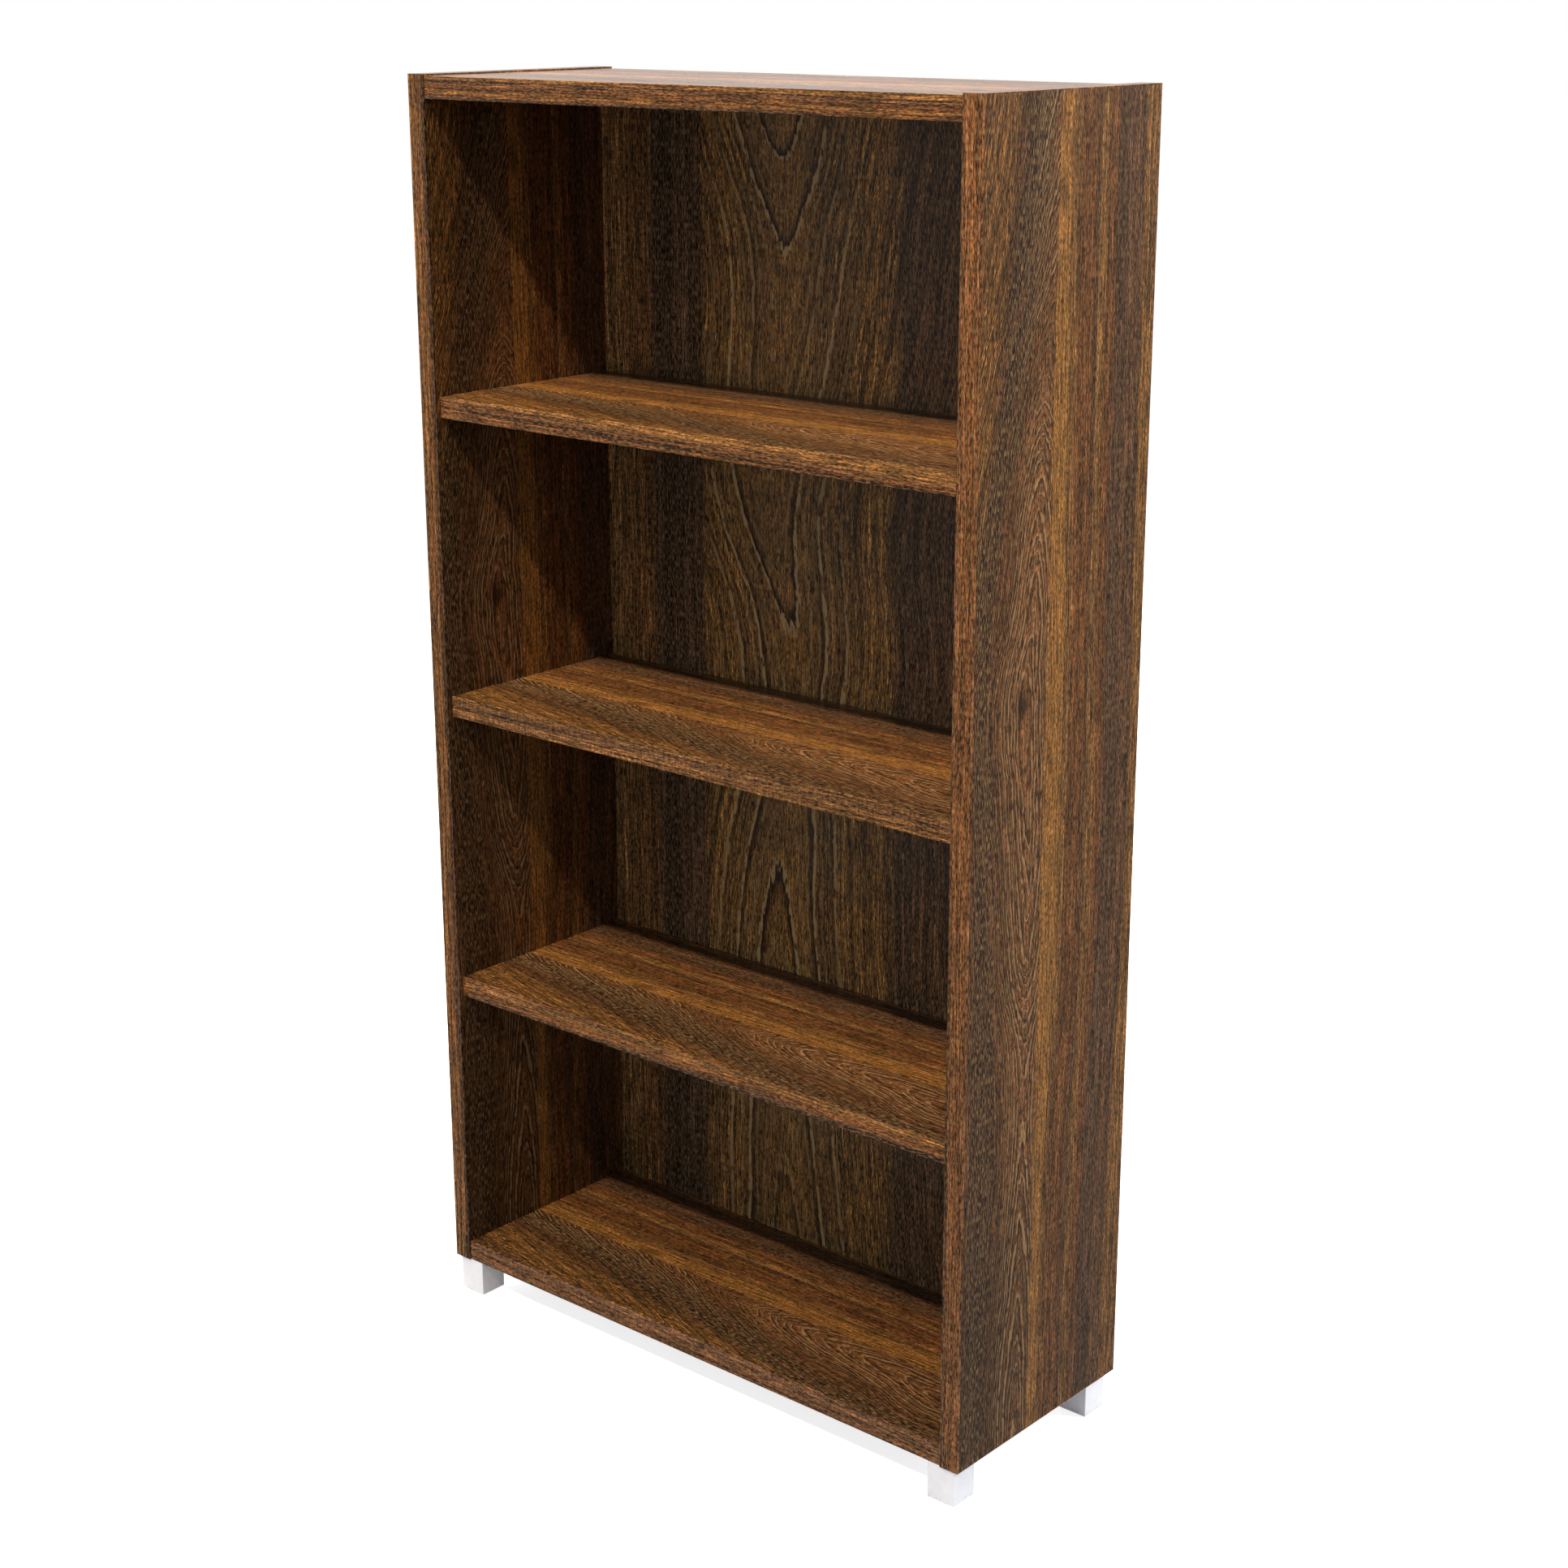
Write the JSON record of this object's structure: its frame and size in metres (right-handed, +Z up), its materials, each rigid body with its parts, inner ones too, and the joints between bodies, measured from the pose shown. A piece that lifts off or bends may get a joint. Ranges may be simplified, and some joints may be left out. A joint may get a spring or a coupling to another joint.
{
  "type": "bookcase",
  "caption": "Tall straight bookcase in dark walnut laminate, open at the front, with a full back, removable shelves and small white square feet with levelling glides.",
  "frame": {"origin": "on the floor, under the middle of the case", "axes": "+Z up, +X to the right seen from the open front, +Y from the open front to the back"},
  "size_m": [0.8, 0.3, 1.5],
  "materials": {
    "walnut_board": "satin walnut laminate",
    "walnut_edging": "satin walnut-print edging strip",
    "zinc": "bright zinc plate",
    "steel": "plain bright steel",
    "beech": "bare beech",
    "white_foot": "smooth white",
    "glide_plastic": "pale grey nylon",
    "brass": "plain brass"
  },
  "bodies": {
    "case": {"left_side_panel": "walnut_board", "right_side_panel": "walnut_board", "top_panel": "walnut_board", "bottom_panel": "walnut_board", "back_panel": "walnut_board", "left_side_front_edging": "walnut_edging", "left_side_rear_edging": "walnut_edging", "left_side_end_edgings": "walnut_edging", "right_side_front_edging": "walnut_edging", "right_side_rear_edging": "walnut_edging", "right_side_end_edgings": "walnut_edging", "top_front_edging": "walnut_edging", "top_rear_edging": "walnut_edging", "bottom_front_edging": "walnut_edging", "bottom_rear_edging": "walnut_edging", "top_cam_locks": "zinc", "bottom_cam_locks": "zinc", "back_cam_locks": "zinc", "top_cam_bolts": "steel", "bottom_cam_bolts": "steel", "back_cam_bolts": "steel", "top_dowels": "beech", "bottom_dowels": "beech", "back_dowels": "beech", "lower_shelf_wires": "steel", "middle_shelf_wires": "steel", "upper_shelf_wires": "steel", "foot_screws": "zinc", "foot_inserts": "brass", "front_left_foot": "white_foot", "front_right_foot": "white_foot", "rear_left_foot": "white_foot", "rear_right_foot": "white_foot"},
    "lower_shelf": {"lower_shelf": "walnut_board", "lower_shelf_front_edging": "walnut_edging"},
    "middle_shelf": {"middle_shelf": "walnut_board", "middle_shelf_front_edging": "walnut_edging"},
    "upper_shelf": {"upper_shelf": "walnut_board", "upper_shelf_front_edging": "walnut_edging"},
    "front_left_glide": {"front_left_glide": "glide_plastic"},
    "front_right_glide": {"front_right_glide": "glide_plastic"},
    "rear_left_glide": {"rear_left_glide": "glide_plastic"},
    "rear_right_glide": {"rear_right_glide": "glide_plastic"}
  },
  "joints": [
    {"name": "lower_shelf_slide", "type": "slide", "parent": "case", "child": "lower_shelf", "axis": [0, -1, 0], "range_m": [0, 0.3]},
    {"name": "middle_shelf_slide", "type": "slide", "parent": "case", "child": "middle_shelf", "axis": [0, -1, 0], "range_m": [0, 0.3]},
    {"name": "upper_shelf_slide", "type": "slide", "parent": "case", "child": "upper_shelf", "axis": [0, -1, 0], "range_m": [0, 0.3]},
    {"name": "front_left_glide_travel", "type": "slide", "parent": "case", "child": "front_left_glide", "axis": [0, 0, -1], "range_m": [0, 0.01]},
    {"name": "front_right_glide_travel", "type": "slide", "parent": "case", "child": "front_right_glide", "axis": [0, 0, -1], "range_m": [0, 0.01]},
    {"name": "rear_left_glide_travel", "type": "slide", "parent": "case", "child": "rear_left_glide", "axis": [0, 0, -1], "range_m": [0, 0.01]},
    {"name": "rear_right_glide_travel", "type": "slide", "parent": "case", "child": "rear_right_glide", "axis": [0, 0, -1], "range_m": [0, 0.01]}
  ]
}
